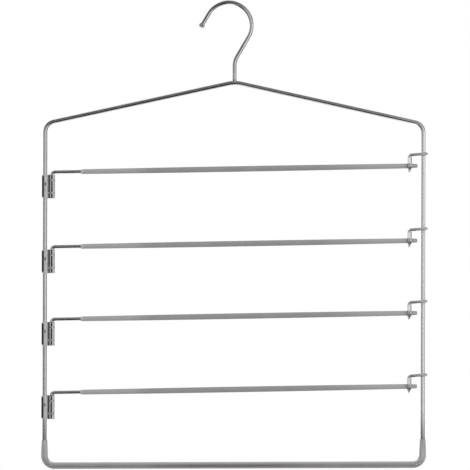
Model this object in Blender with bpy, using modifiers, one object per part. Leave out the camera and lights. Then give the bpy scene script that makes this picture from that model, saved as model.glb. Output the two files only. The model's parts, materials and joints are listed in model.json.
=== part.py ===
# Trouser hanger with four swing arms over a fixed bottom bar.
# Metres, +Z up. The hanger lies in the XZ plane and its front faces -Y.
# The origin is the seat of the hook: the highest point of its inner side, where a rod bears.
from math import acos, atan2, ceil, cos, pi, radians, sin, sqrt, tan

import bmesh
import bpy
from mathutils import Vector

# Clearances and wire stock. A wire's size is its diameter.
FIT_GAP = 0.0003
CUT_OVERRUN = 0.0010
FRAME_WIRE = 0.0040
HOOK_WIRE = 0.0038
ARM_WIRE = 0.0033
LATCH_WIRE = 0.0028

# Hook. Slopes are degrees from the vertical, and bend radii run along the wire's middle.
HOOK_INNER_RADIUS = 0.0202
HOOK_TAIL_SLOPE = 30.5
HOOK_TAIL_LENGTH = 0.0138
HOOK_NECK_SLOPE = 30.3
HOOK_NECK_RADIUS = 0.0180
HOOK_OFFSET = 0.0058
SHANK_LENGTH = 0.0206

# Button on the hook's tip.
CAP_LENGTH = 0.0030
CAP_WALL = 0.0004
CAP_FLARE = 0.0002
CAP_END_WALL = 0.0007

# Frame. The upright's length runs from the shoulder line to the middle of the bottom bar, whose
# right end stands a little higher than its left.
FRAME_HALF_WIDTH = 0.1815
UPRIGHT_LENGTH = 0.3278
BAR_RISE = 0.0019
SHOULDER_SLOPE = 12.4
APEX_RADIUS = 0.0320
SHOULDER_RADIUS = 0.0100
CORNER_RADIUS = 0.0095

# Sleeve on the bottom bar.
BAR_SLEEVE_LEG = 0.0153
BAR_SLEEVE_TAPER = 0.0130
BAR_SLEEVE_WALL = 0.0009
BAR_SLEEVE_LIP = 0.0003

# Swing arms. Places are shares of the upright's length, from the shoulder line down.
ARM_PLACE_SHARES = (0.1432, 0.3622, 0.5744, 0.7892)
ARM_RISE = 1.15
ARM_BEND_RADIUS = 0.0022
ARM_BARE_LENGTH = 0.0277
LEG_SHORTFALL = 0.0010
WIRE_PAST_STEM = 0.0015
TIP_PAST_STEM = 0.0078

# Sleeve on an arm: walls at its start, its crowned middle and the latch, and its drawn-in tip.
ARM_WALL_START = 0.00035
ARM_WALL_MIDDLE = 0.00075
ARM_WALL_LATCH = 0.00035
ARM_TIP_DRAW = 0.0003
ARM_TIP_ROUND = 0.0012
ARM_MOUTH_CHAMFER = 0.0002

# Hinge clip of folded sheet.
CLIP_SHEET = 0.0008
CLIP_HEIGHT = 0.0226
CLIP_NECK = 0.0009
CLIP_FOLD_RADIUS = 0.0006
CLIP_CORNER_RADIUS = 0.0018
CLIP_SEAM = 0.0009
KNUCKLE_HEIGHT = 0.0048
KNUCKLE_SLOT = 0.0008
DIMPLE_DROP = 0.0086
DIMPLE_LENGTH = 0.0044
DIMPLE_WIDTH = 0.0014
DIMPLE_DEPTH = 0.0005
DIMPLE_TAIL_SHARE = 0.35

# Latch. Its run crosses the front of the right upright. Its stem is pressed flat, and ends in a wedge
# that leans back past the arm and turns under it.
STEM_OFFSET = 0.0134
LATCH_OVERHANG = 0.0039
LATCH_RISE = 0.0103
LATCH_SLOPE = 4.5
LATCH_BEND_RADIUS = 0.0025
LATCH_PRESS_BLEND = 0.0030
WELD_SINK = 0.0006
STEM_WIDTH_SHARE = 1.68
STEM_THICKNESS_SHARE = 0.55
WEDGE_DROP = 0.0012
WEDGE_SLOPE = 30.0
WEDGE_BEND_RADIUS = 0.0020
TOE_DROP = 0.0053
TOE_BEND_RADIUS = 0.0010
TOE_WIDTH_SHARE = 0.40
FOOT_REACH = 0.0030
FOOT_TIP_SHARE = 0.30

# Fineness of the round forms: how far a chord may leave its arc, and the widest step in degrees.
ARC_TOLERANCE = 0.00003
WIDEST_ARC_ANGLE = 20.0
LONG_WIRE_STEPS = 2
WIRE_STEPS = 4
TURN_STEPS = 16
CROWN_STEPS = 8
TIP_STEPS = 3
SMOOTH_ANGLE = 50.0
WELD_DISTANCE = 0.000001

# Finishes: colour, metallic and roughness.
CHROME = ((0.80, 0.80, 0.81), 1.0, 0.12)
PLATED_SHEET = ((0.72, 0.72, 0.73), 1.0, 0.28)
SOFT_GREY = ((0.33, 0.33, 0.33), 0.0, 0.65)

# Places and sizes that follow from the ones above.
hook_radius = HOOK_INNER_RADIUS + HOOK_WIRE / 2
hook_centre_z = -HOOK_INNER_RADIUS
neck_corner_z = hook_centre_z - (hook_radius - HOOK_OFFSET * cos(radians(HOOK_NECK_SLOPE))) / sin(
    radians(HOOK_NECK_SLOPE))
apex_z = neck_corner_z - SHANK_LENGTH
crown_z = apex_z - APEX_RADIUS * (1 / cos(radians(SHOULDER_SLOPE)) - 1)
shoulder_z = apex_z - FRAME_HALF_WIDTH * tan(radians(SHOULDER_SLOPE))
bottom_z = shoulder_z - UPRIGHT_LENGTH
bottom_left_z = bottom_z - BAR_RISE / 2
bottom_right_z = bottom_z + BAR_RISE / 2
left_x = HOOK_OFFSET - FRAME_HALF_WIDTH
right_x = HOOK_OFFSET + FRAME_HALF_WIDTH
stem_x = right_x - STEM_OFFSET

arm_bore = ARM_WIRE / 2 + FIT_GAP
latch_sleeve_radius = arm_bore + ARM_WALL_LATCH
stem_thickness = LATCH_WIRE * STEM_THICKNESS_SHARE
latch_y = WELD_SINK - FRAME_WIRE / 2 - LATCH_WIRE / 2
arm_y = latch_y + stem_thickness / 2 + FIT_GAP + latch_sleeve_radius

upright_barrel = FRAME_WIRE / 2 + FIT_GAP + CLIP_SHEET / 2
leg_barrel = ARM_WIRE / 2 + FIT_GAP + CLIP_SHEET / 2
leaf_offset = (CLIP_SHEET + FIT_GAP) / 2
fold_offset = leaf_offset + CLIP_FOLD_RADIUS
upright_fold = sqrt((upright_barrel + CLIP_FOLD_RADIUS) ** 2 - fold_offset ** 2)
leg_fold = sqrt((leg_barrel + CLIP_FOLD_RADIUS) ** 2 - fold_offset ** 2)
barrel_spacing = upright_fold + CLIP_NECK + leg_fold
clip_turn = atan2(arm_y, sqrt(barrel_spacing ** 2 - arm_y ** 2))
leg_x = left_x + barrel_spacing * cos(clip_turn)
clip_drop = ARM_BEND_RADIUS + FIT_GAP

arm_reach = (stem_x - leg_x) / cos(radians(ARM_RISE))
stem_lift = (stem_x - leg_x) * tan(radians(ARM_RISE))
arm_heights = [shoulder_z - UPRIGHT_LENGTH * share for share in ARM_PLACE_SHARES]


def clear_scene():
    for old in list(bpy.data.objects):
        bpy.data.objects.remove(old, do_unlink=True)


def new_collection(name):
    collection = bpy.data.collections.new(name)
    bpy.context.scene.collection.children.link(collection)
    return collection


def new_finish(name, look):
    colour, metallic, roughness = look
    finish = bpy.data.materials.new(name)
    finish.use_nodes = True
    shader = finish.node_tree.nodes["Principled BSDF"]
    shader.inputs["Base Color"].default_value = (*colour, 1.0)
    shader.inputs["Metallic"].default_value = metallic
    shader.inputs["Roughness"].default_value = roughness
    return finish


def add_object(name, data, collection, look=None):
    """Link a new object and give it its own finish."""
    piece = bpy.data.objects.new(name, data)
    collection.objects.link(piece)
    if look:
        data.materials.clear()
        data.materials.append(new_finish(name + "_finish", look))
    return piece


def make_cutter(piece):
    piece.hide_render = True
    piece.display_type = "WIRE"
    return piece


def arc(centre, across, up, radius, start, stop):
    """Points on an arc in the plane of two unit vectors, with angles in radians."""
    step_angle = min(radians(WIDEST_ARC_ANGLE), 2 * acos(1 - ARC_TOLERANCE / radius))
    steps = max(1, ceil(abs(stop - start) / step_angle))
    points = []
    for step in range(steps + 1):
        angle = start + (stop - start) * step / steps
        points.append(centre + across * (radius * cos(angle)) + up * (radius * sin(angle)))
    return points


def bend(before, corner, after, radius):
    """Points that round off one corner of a wire's route."""
    inward = (before - corner).normalized()
    outward = (after - corner).normalized()
    half = inward.angle(outward) / 2
    middle = (inward + outward).normalized()
    centre = corner + middle * (radius / sin(half))
    across = -middle
    up = (outward - middle * outward.dot(middle)).normalized()
    return arc(centre, across, up, radius, half - pi / 2, pi / 2 - half)


def route(corners, radii, closed=False):
    """A wire's route through its corners; a radius of zero leaves an end or a kink."""
    points = []
    count = len(corners)
    for index, (corner, radius) in enumerate(zip(corners, radii)):
        if radius and (closed or 0 < index < count - 1):
            points += bend(corners[index - 1], corner, corners[(index + 1) % count], radius)
        else:
            points.append(corner)
    return points


def add_wire(name, points, radii, collection, look=None, closed=False, bevel_steps=WIRE_STEPS):
    """A round wire along a route; radii is one radius, or one for each point."""
    if not isinstance(radii, list):
        radii = [radii] * len(points)
    curve = bpy.data.curves.new(name, "CURVE")
    curve.dimensions = "3D"
    curve.twist_mode = "MINIMUM"
    curve.bevel_depth = max(radii)
    curve.bevel_resolution = bevel_steps
    curve.use_fill_caps = True
    spline = curve.splines.new("POLY")
    spline.points.add(len(points) - 1)
    for knot, place, radius in zip(spline.points, points, radii):
        knot.co = (*place, 1.0)
        knot.radius = radius / max(radii)
    spline.use_cyclic_u = closed
    spline.use_smooth = True
    return add_object(name, curve, collection, look)


def as_mesh(piece):
    """Turn a curve or a modified object into plain mesh data with welded caps."""
    bpy.context.view_layer.update()
    shaped = piece.evaluated_get(bpy.context.evaluated_depsgraph_get())
    mesh = bpy.data.meshes.new_from_object(shaped)
    work = bmesh.new()
    work.from_mesh(mesh)
    bmesh.ops.remove_doubles(work, verts=work.verts, dist=WELD_DISTANCE)
    work.to_mesh(mesh)
    work.free()
    return mesh


def replace_by_mesh(piece, collection):
    """Swap a curve or a modified object for a mesh object with its name, place and finish."""
    name = piece.name
    mesh = as_mesh(piece)
    place = piece.matrix_world.copy()
    bpy.data.objects.remove(piece, do_unlink=True)
    solid = bpy.data.objects.new(name, mesh)
    collection.objects.link(solid)
    solid.matrix_world = place
    smooth(mesh)
    return solid


def smooth(mesh):
    mesh.shade_smooth()
    mesh.set_sharp_from_angle(angle=radians(SMOOTH_ANGLE))


def add_boolean(piece, cutter, operation="DIFFERENCE"):
    modifier = piece.modifiers.new(cutter.name, "BOOLEAN")
    modifier.operation = operation
    modifier.object = cutter


def add_turned(name, profile, collection, look=None):
    """A solid of revolution about Z; the profile is a list of radius and height."""
    mesh = bpy.data.meshes.new(name)
    edges = [(index, index + 1) for index in range(len(profile) - 1)]
    mesh.from_pydata([(radius, 0.0, height) for radius, height in profile], edges, [])
    piece = add_object(name, mesh, collection, look)
    screw = piece.modifiers.new("turn", "SCREW")
    screw.axis = "Z"
    screw.angle = 2 * pi
    screw.steps = TURN_STEPS
    screw.render_steps = TURN_STEPS
    screw.use_merge_vertices = True
    screw.merge_threshold = WELD_DISTANCE
    screw.use_smooth_shade = True
    return piece


def at(x, z, y=0.0):
    return Vector((x, y, z))


def frame_corners():
    """The frame's five corners and their bend radii, clockwise from the apex as seen from the front."""
    corners = [at(HOOK_OFFSET, apex_z), at(right_x, shoulder_z), at(right_x, bottom_right_z),
               at(left_x, bottom_left_z), at(left_x, shoulder_z)]
    radii = [APEX_RADIUS, SHOULDER_RADIUS, CORNER_RADIUS, CORNER_RADIUS, SHOULDER_RADIUS]
    return corners, radii


def make_frame(parts):
    corners, radii = frame_corners()
    add_wire("frame_wire", route(corners, radii, closed=True), FRAME_WIRE / 2, parts, CHROME, closed=True,
             bevel_steps=LONG_WIRE_STEPS)


def make_hook(parts, cutters):
    """The hook's wire, from its tip over the arc and down the shank, coped to sit on the apex."""
    centre = at(0.0, hook_centre_z)
    across = Vector((1.0, 0.0, 0.0))
    up = Vector((0.0, 0.0, 1.0))
    tail = radians(HOOK_TAIL_SLOPE)
    neck = radians(HOOK_NECK_SLOPE)
    over = arc(centre, across, up, hook_radius, pi - tail, -neck)
    tail_way = Vector((-sin(tail), 0.0, -cos(tail)))
    wire_end = over[0] + tail_way * HOOK_TAIL_LENGTH
    neck_corner = at(HOOK_OFFSET, neck_corner_z)
    shank_end = at(HOOK_OFFSET, crown_z)
    points = [wire_end] + over + bend(over[-1], neck_corner, shank_end, HOOK_NECK_RADIUS) + [shank_end]
    hook = replace_by_mesh(add_wire("hook_wire", points, HOOK_WIRE / 2, parts, CHROME), parts)

    corners, radii = frame_corners()
    apex, right_shoulder, left_shoulder = corners[0], corners[1], corners[-1]
    crown = [left_shoulder] + bend(left_shoulder, apex, right_shoulder, radii[0]) + [right_shoulder]
    cope = add_wire("shank_cope", crown, FRAME_WIRE / 2 + FIT_GAP, cutters)
    add_boolean(hook, make_cutter(replace_by_mesh(cope, cutters)))
    replace_by_mesh(hook, parts)
    return wire_end, tail_way


def make_cap(parts, wire_end, tail_way):
    """The button that covers the hook's cut end."""
    bore = HOOK_WIRE / 2 + FIT_GAP
    body = bore + CAP_WALL
    rim = body + CAP_FLARE
    depth = CAP_LENGTH - CAP_END_WALL
    profile = [(0.0, CAP_LENGTH),
               (body - CAP_END_WALL, CAP_LENGTH),
               (body, CAP_LENGTH - CAP_END_WALL / 2),
               (body, CAP_LENGTH / 2),
               (rim, CAP_END_WALL),
               (rim, CAP_FLARE),
               (body, 0.0),
               (bore, 0.0),
               (bore, depth),
               (0.0, depth)]
    cap = add_turned("hook_tip_cap", profile, parts, CHROME)
    cap.location = wire_end - tail_way * (depth - FIT_GAP)
    cap.rotation_mode = "QUATERNION"
    cap.rotation_quaternion = Vector((0.0, 0.0, 1.0)).rotation_difference(tail_way)


def make_bottom_sleeve(parts, cutters):
    """The soft tube on the bottom bar, thin at its lips, with its bore cut out."""
    lip = FRAME_WIRE / 2 + FIT_GAP + BAR_SLEEVE_LIP
    body = FRAME_WIRE / 2 + FIT_GAP + BAR_SLEEVE_WALL
    leg = Vector((0.0, 0.0, CORNER_RADIUS + BAR_SLEEVE_LEG))
    taper = Vector((0.0, 0.0, BAR_SLEEVE_TAPER))
    lower_left = at(left_x, bottom_left_z)
    lower_right = at(right_x, bottom_right_z)
    top_left = lower_left + leg
    top_right = lower_right + leg
    turn_left = bend(top_left, lower_left, lower_right, CORNER_RADIUS)
    turn_right = bend(lower_left, lower_right, top_right, CORNER_RADIUS)
    points = [top_left, top_left - taper] + turn_left + turn_right + [top_right - taper, top_right]
    radii = [lip] + [body] * (len(points) - 2) + [lip]
    sleeve = replace_by_mesh(add_wire("bottom_sleeve", points, radii, parts, SOFT_GREY), parts)

    overrun = Vector((0.0, 0.0, CUT_OVERRUN))
    points[0] = top_left + overrun
    points[-1] = top_right + overrun
    bore = add_wire("bottom_sleeve_bore", points, FRAME_WIRE / 2 + FIT_GAP, cutters)
    add_boolean(sleeve, make_cutter(replace_by_mesh(bore, cutters)))
    replace_by_mesh(sleeve, parts)


def clip_sheet_line():
    """Middle of the clip's sheet seen from above, with the upright's axis at the origin.

    It starts at the seam in front of the leg's barrel, runs back through the neck, goes
    round the upright, and returns round the leg to the other side of the seam.
    """
    along = Vector((cos(clip_turn), sin(clip_turn), 0.0))
    side = Vector((-sin(clip_turn), cos(clip_turn), 0.0))
    upright = Vector((0.0, 0.0, 0.0))
    leg = along * barrel_spacing
    upright_angle = atan2(fold_offset, upright_fold)
    leg_angle = atan2(fold_offset, leg_fold)
    seam = -pi / 2 - clip_turn
    half_seam = CLIP_SEAM / (2 * leg_barrel)

    def fold(distance, offset, start, stop):
        return arc(along * distance + side * offset, along, side, CLIP_FOLD_RADIUS, start, stop)

    leg_fold_at = barrel_spacing - leg_fold
    line = arc(leg, along, side, leg_barrel, seam - half_seam, leg_angle - pi)
    line += fold(leg_fold_at, -fold_offset, leg_angle, pi / 2)[1:]
    line += fold(upright_fold, -fold_offset, pi / 2, pi - upright_angle)
    line += arc(upright, along, side, upright_barrel, -upright_angle, upright_angle - 2 * pi)[1:]
    line += fold(upright_fold, fold_offset, upright_angle - pi, -pi / 2)[1:]
    line += fold(leg_fold_at, fold_offset, -pi / 2, -leg_angle)
    line += arc(leg, along, side, leg_barrel, pi - leg_angle, seam + half_seam)[1:]
    return line


def make_clip_blank(cutters):
    """The clip's outline from the front, whose corners at the fold are rounded."""
    left = -upright_barrel - CLIP_SHEET / 2
    right = barrel_spacing + leg_barrel + CLIP_SHEET / 2 + CUT_OVERRUN
    depth = upright_barrel + leg_barrel + CLIP_SHEET
    corners = [at(left, 0.0), at(right, 0.0), at(right, -CLIP_HEIGHT), at(left, -CLIP_HEIGHT)]
    radii = [CLIP_CORNER_RADIUS, 0.0, 0.0, CLIP_CORNER_RADIUS]
    outline = bpy.data.curves.new("clip_blank", "CURVE")
    outline.dimensions = "2D"
    outline.fill_mode = "BOTH"
    outline.extrude = depth
    spline = outline.splines.new("POLY")
    points = route(corners, radii, closed=True)
    spline.points.add(len(points) - 1)
    for knot, place in zip(spline.points, points):
        knot.co = (place.x, place.z, 0.0, 1.0)
    spline.use_cyclic_u = True
    blank = add_object("clip_blank", outline, cutters)
    blank.rotation_euler = (pi / 2, 0.0, 0.0)
    bpy.context.view_layer.update()
    return make_cutter(replace_by_mesh(blank, cutters))


def add_box(work, low, high):
    made = bmesh.ops.create_cube(work, size=1.0)["verts"]
    size = high - low
    bmesh.ops.scale(work, verts=made, vec=size)
    bmesh.ops.translate(work, verts=made, vec=(low + high) / 2)


def make_knuckle_slots(cutters):
    """Two level cuts across the front of the leg's barrel, which part it into three knuckles."""
    leg_at = Vector((barrel_spacing * cos(clip_turn), barrel_spacing * sin(clip_turn), 0.0))
    reach = leg_barrel + CLIP_SHEET / 2 + CUT_OVERRUN
    work = bmesh.new()
    for top in (-KNUCKLE_HEIGHT, KNUCKLE_HEIGHT + KNUCKLE_SLOT - CLIP_HEIGHT):
        low = Vector((leg_at.x - leg_barrel, leg_at.y - reach, top - KNUCKLE_SLOT))
        high = Vector((leg_at.x + reach, leg_at.y, top))
        add_box(work, low, high)
    mesh = bpy.data.meshes.new("knuckle_slots")
    work.to_mesh(mesh)
    work.free()
    return make_cutter(add_object("knuckle_slots", mesh, cutters))


def make_dimple(cutters):
    """The punch mark that pinches the clip on the upright: a tapered groove in its front."""
    work = bmesh.new()
    bmesh.ops.create_cone(work, cap_ends=True, segments=TURN_STEPS, radius1=DIMPLE_DEPTH * DIMPLE_TAIL_SHARE,
                          radius2=DIMPLE_DEPTH, depth=DIMPLE_LENGTH)
    bmesh.ops.scale(work, verts=work.verts, vec=(DIMPLE_WIDTH / (2 * DIMPLE_DEPTH), 1.0, 1.0))
    mesh = bpy.data.meshes.new("dimple")
    work.to_mesh(mesh)
    work.free()
    dimple = make_cutter(add_object("dimple", mesh, cutters))
    dimple.location = (0.0, -upright_barrel - CLIP_SHEET / 2, -DIMPLE_DROP - DIMPLE_LENGTH / 2)
    return dimple


def make_hinge_clips(parts, cutters):
    """The clip's sheet, folded round the upright and rolled round the leg, copied for each arm."""
    work = bmesh.new()
    top = [work.verts.new(place) for place in clip_sheet_line()]
    edges = [work.edges.new(pair) for pair in zip(top, top[1:])]
    grown = bmesh.ops.extrude_edge_only(work, edges=edges)["geom"]
    lower = [item for item in grown if isinstance(item, bmesh.types.BMVert)]
    bmesh.ops.translate(work, verts=lower, vec=(0.0, 0.0, -CLIP_HEIGHT))
    sheet = bpy.data.meshes.new("clip_sheet")
    work.to_mesh(sheet)
    work.free()

    master = add_object("clip_sheet", sheet, cutters)
    solid = master.modifiers.new("sheet", "SOLIDIFY")
    solid.thickness = CLIP_SHEET
    solid.offset = 0.0
    solid.use_even_offset = True
    add_boolean(master, make_clip_blank(cutters), "INTERSECT")
    add_boolean(master, make_knuckle_slots(cutters))
    add_boolean(master, make_dimple(cutters))
    folded = as_mesh(master)
    smooth(folded)
    bpy.data.objects.remove(master, do_unlink=True)
    for number, height in enumerate(arm_heights, 1):
        clip = add_object(f"hinge_clip_{number}", folded.copy(), parts, PLATED_SHEET)
        clip.location = at(left_x, height - clip_drop)


def arm_sleeve_profile():
    """Radius and place along the arm, from the closed tip back to the mouth and up the bore."""
    start = arm_bore + ARM_WALL_START
    crown = ARM_WALL_MIDDLE - (ARM_WALL_START + ARM_WALL_LATCH) / 2
    wire_end = arm_reach + WIRE_PAST_STEM
    bore_end = wire_end + FIT_GAP
    tip = arm_reach + TIP_PAST_STEM
    drawn = latch_sleeve_radius - ARM_TIP_DRAW
    profile = [(0.0, tip)]
    for step in range(TIP_STEPS + 1):
        angle = pi / 2 * step / TIP_STEPS
        profile.append((drawn - ARM_TIP_ROUND * (1 - sin(angle)), tip - ARM_TIP_ROUND * (1 - cos(angle))))
    profile.append((drawn, bore_end + ARM_TIP_ROUND))
    for step in range(CROWN_STEPS, -1, -1):
        share = step / CROWN_STEPS
        place = ARM_BARE_LENGTH + (bore_end - ARM_BARE_LENGTH) * share
        level = start + (latch_sleeve_radius - start) * share
        profile.append((level + crown * (1 - (2 * share - 1) ** 2), place))
    profile[-1] = (start, ARM_BARE_LENGTH + ARM_MOUTH_CHAMFER)
    profile += [(start - ARM_MOUTH_CHAMFER, ARM_BARE_LENGTH), (arm_bore, ARM_BARE_LENGTH),
                (arm_bore, bore_end), (0.0, bore_end)]
    return profile


def make_arms(parts):
    """Four arms: each has a leg that stands in its clip's barrel, and a sleeved bar."""
    rise = radians(ARM_RISE)
    bar_way = Vector((cos(rise), 0.0, sin(rise)))
    leg_end = at(0.0, LEG_SHORTFALL - clip_drop - CLIP_HEIGHT)
    bar_end = bar_way * (arm_reach + WIRE_PAST_STEM)
    points = [leg_end] + bend(leg_end, at(0.0, 0.0), bar_end, ARM_BEND_RADIUS) + [bar_end]
    for number, height in enumerate(arm_heights, 1):
        axis = bpy.data.objects.new(f"arm_axis_{number}", None)
        parts.objects.link(axis)
        axis.location = at(leg_x, height, arm_y)
        wire = add_wire(f"arm_wire_{number}", points, ARM_WIRE / 2, parts, CHROME,
                        bevel_steps=LONG_WIRE_STEPS)
        wire.parent = axis
        sleeve = add_turned(f"arm_sleeve_{number}", arm_sleeve_profile(), parts, SOFT_GREY)
        sleeve.rotation_euler = (0.0, pi / 2 - rise, 0.0)
        sleeve.parent = axis


def blend_share(value):
    share = min(1.0, max(0.0, value))
    return share * share * (3 - 2 * share)


def press_flat(mesh):
    """Widen the latch's stem along X, and draw its wedge in towards the toe."""
    stem_top = LATCH_RISE - LATCH_BEND_RADIUS
    spread = STEM_WIDTH_SHARE / STEM_THICKNESS_SHARE
    toe = TOE_WIDTH_SHARE / STEM_THICKNESS_SHARE
    for vertex in mesh.vertices:
        height = vertex.co.z
        if height > stem_top:
            continue
        width = 1 + (spread - 1) * blend_share((stem_top - height) / LATCH_PRESS_BLEND)
        drawn = min(1.0, max(0.0, (-height - WEDGE_DROP) / (TOE_DROP - WEDGE_DROP)))
        width += (toe - width) * drawn
        vertex.co.x = (vertex.co.x + STEM_OFFSET) * width - STEM_OFFSET


def make_latches(parts, cutters):
    """The latches: origin on the right upright's axis, at the height of the arm's middle."""
    climb = tan(radians(LATCH_SLOPE))
    crossing = LATCH_RISE + STEM_OFFSET * climb
    corner = at(-STEM_OFFSET, LATCH_RISE, latch_y)
    run_end = at(LATCH_OVERHANG, crossing + LATCH_OVERHANG * climb, latch_y)
    stem_foot = at(-STEM_OFFSET, 0.0, latch_y)
    run = [run_end] + bend(run_end, corner, stem_foot, LATCH_BEND_RADIUS)
    stem_start = at(-STEM_OFFSET, LATCH_RISE - LATCH_BEND_RADIUS - LATCH_PRESS_BLEND, latch_y)
    lean = (TOE_DROP - WEDGE_DROP) * tan(radians(WEDGE_SLOPE))
    wedge = at(-STEM_OFFSET, -WEDGE_DROP, latch_y)
    toe = at(-STEM_OFFSET, -TOE_DROP, latch_y + lean)
    foot = at(-STEM_OFFSET, -TOE_DROP, arm_y + FOOT_REACH)
    pressed = [stem_start] + bend(stem_start, wedge, toe, WEDGE_BEND_RADIUS)
    pressed += bend(wedge, toe, foot, TOE_BEND_RADIUS)
    radii = [LATCH_WIRE / 2] * len(run) + [stem_thickness / 2] * len(pressed)
    radii.append(LATCH_WIRE * FOOT_TIP_SHARE / 2)
    master = replace_by_mesh(add_wire("latch_wire", run + pressed + [foot], radii, cutters), cutters)
    press_flat(master.data)

    saddle_line = [at(0.0, crossing - LATCH_WIRE), at(0.0, crossing + LATCH_WIRE)]
    saddle = add_wire("latch_saddle", saddle_line, FRAME_WIRE / 2 + FIT_GAP, cutters)
    add_boolean(master, make_cutter(replace_by_mesh(saddle, cutters)))
    bent = as_mesh(master)
    smooth(bent)
    bpy.data.objects.remove(master, do_unlink=True)
    for number, height in enumerate(arm_heights, 1):
        latch = add_object(f"latch_hook_{number}", bent.copy(), parts, CHROME)
        latch.location = at(right_x, height + stem_lift)


def main():
    clear_scene()
    parts = new_collection("trouser_hanger")
    cutters = new_collection("cutters")
    make_frame(parts)
    wire_end, tail_way = make_hook(parts, cutters)
    make_cap(parts, wire_end, tail_way)
    make_bottom_sleeve(parts, cutters)
    make_hinge_clips(parts, cutters)
    make_arms(parts)
    make_latches(parts, cutters)


main()
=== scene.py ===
import json
from math import atan, atan2, ceil, cos, degrees, hypot, pi, radians, sin, sqrt, tan

import bpy
from mathutils import Matrix, Vector


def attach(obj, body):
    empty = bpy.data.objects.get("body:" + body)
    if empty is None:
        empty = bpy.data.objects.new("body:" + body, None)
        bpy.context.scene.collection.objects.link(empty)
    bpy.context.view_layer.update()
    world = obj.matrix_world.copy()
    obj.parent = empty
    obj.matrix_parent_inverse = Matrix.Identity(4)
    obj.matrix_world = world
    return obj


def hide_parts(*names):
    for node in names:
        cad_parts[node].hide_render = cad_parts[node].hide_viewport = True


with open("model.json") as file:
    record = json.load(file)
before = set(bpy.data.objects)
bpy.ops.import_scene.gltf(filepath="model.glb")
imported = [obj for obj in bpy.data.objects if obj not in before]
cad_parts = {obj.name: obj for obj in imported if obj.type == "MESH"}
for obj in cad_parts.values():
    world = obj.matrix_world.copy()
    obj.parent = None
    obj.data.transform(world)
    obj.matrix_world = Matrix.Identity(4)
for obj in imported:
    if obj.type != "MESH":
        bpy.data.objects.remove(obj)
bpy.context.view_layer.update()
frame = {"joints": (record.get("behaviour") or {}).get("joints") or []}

xAxis = Vector((1, 0, 0))
yAxis = Vector((0, 1, 0))
zAxis = Vector((0, 0, 1))
mergeDistance = 0.000002

bpy.context.scene.view_settings.view_transform = "Standard"

# the camera looks along +Y, level, and is rolled a little as in the photograph
camera = {"x": 0.00662, "z": -0.2214, "distance": 1.30, "viewWidth": 0.4512, "roll": 0.15, "clip": 0.01}


def addCamera(c):
    bpy.ops.object.camera_add(location=(c["x"], -c["distance"], c["z"]))
    eye = bpy.context.object
    level = Matrix.Rotation(pi / 2, 4, "X")
    eye.matrix_world = eye.matrix_world @ level @ Matrix.Rotation(radians(c["roll"]), 4, "Z")
    eye.data.lens = eye.data.sensor_width * c["distance"] / c["viewWidth"]
    eye.data.clip_start = c["clip"]
    bpy.context.scene.camera = eye


# a socket that can be used in sums, and the one way to add any other node
class Feed:
    def __init__(self, tree, socket=None):
        self.tree = tree
        self.socket = socket

    def node(self, kind, settings=None, inputs=None, output=0):
        made = self.tree.nodes.new("ShaderNode" + kind)
        for name, value in (settings or {}).items():
            setattr(made, name, value)
        for key, value in (inputs or {}).items():
            if isinstance(value, Feed):
                self.tree.links.new(value.socket, made.inputs[key])
            else:
                made.inputs[key].default_value = value
        return Feed(self.tree, made.outputs[output])

    def maths(self, operation, *values):
        return self.node("Math", {"operation": operation}, dict(enumerate(values)))

    def __add__(self, other):
        return self.maths("ADD", self, other)

    def __radd__(self, other):
        return self.maths("ADD", other, self)

    def __sub__(self, other):
        return self.maths("SUBTRACT", self, other)

    def __rsub__(self, other):
        return self.maths("SUBTRACT", other, self)

    def __mul__(self, other):
        return self.maths("MULTIPLY", self, other)

    def __rmul__(self, other):
        return self.maths("MULTIPLY", other, self)

    def __pow__(self, other):
        return self.maths("POWER", self, other)

    def __abs__(self):
        return self.maths("ABSOLUTE", self)

    def ease(self, low, high, start=0.0, stop=1.0):
        return self.node("MapRange", {"interpolation_type": "SMOOTHSTEP"},
                         {"Value": self, "From Min": low, "From Max": high, "To Min": start, "To Max": stop})

    def along(self, way):
        return self.node("VectorMath", {"operation": "DOT_PRODUCT"}, {0: self, 1: way}, "Value")

    def times(self, scales):
        return self.node("VectorMath", {"operation": "MULTIPLY"}, {0: self, 1: scales})

    def noise(self, scale, detail=3.0, roughness=0.5):
        return self.node("TexNoise", None,
                         {"Vector": self, "Scale": scale, "Detail": detail, "Roughness": roughness}, "Fac")

    def tint(self, dark, light):
        return self.node("Mix", {"data_type": "RGBA"}, {"Factor": self, 6: dark, 7: light}, 2)

    def bump(self, strength, distance):
        return self.node("Bump", None, {"Strength": strength, "Distance": distance, "Height": self}, "Normal")

    def mark(self, name, output="Fac"):
        return self.node("Attribute", {"attribute_name": name}, None, output)


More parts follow.
